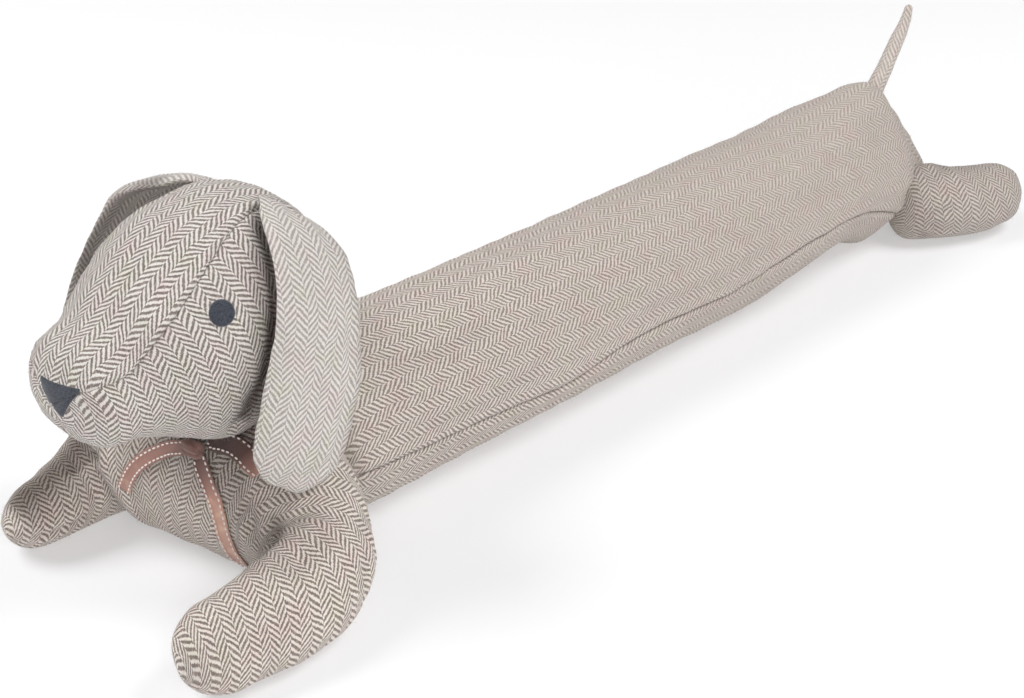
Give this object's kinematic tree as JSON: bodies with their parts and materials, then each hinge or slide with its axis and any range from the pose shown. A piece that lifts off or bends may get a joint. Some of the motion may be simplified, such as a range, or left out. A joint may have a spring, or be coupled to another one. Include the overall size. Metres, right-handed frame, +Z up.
{
  "type": "draught excluder",
  "caption": "Draught excluder sewn as a lying sausage dog: a long filled tweed tube with head, hanging ears, crescent front legs, hind legs, tail and a satin half bow.",
  "frame": {"origin": "on the floor, under the middle of the whole dog's box", "axes": "+X along the body towards the tail, the nose is towards -X, the dog's left side is -Y, +Z up"},
  "size_m": [0.9381, 0.2674, 0.2556],
  "materials": {
    "herringbone_tweed": "woven wool tweed in cream and grey-brown, with a slight nap",
    "dark_felt": "matt charcoal felt",
    "satin_ribbon": "pinkish brown satin with stitched edges"
  },
  "bodies": {
    "root": {"body": "herringbone_tweed", "front_legs": "herringbone_tweed", "head": "herringbone_tweed", "ear_left": "herringbone_tweed", "ear_right": "herringbone_tweed", "hind_leg_left": "herringbone_tweed", "hind_leg_right": "herringbone_tweed", "tail": "herringbone_tweed", "eye_left": "dark_felt", "eye_right": "dark_felt", "nose": "dark_felt", "ribbon_tail_near": "satin_ribbon", "ribbon_tail_far": "satin_ribbon", "ribbon_loop": "satin_ribbon", "ribbon_knot": "satin_ribbon"}
  },
  "joints": []
}
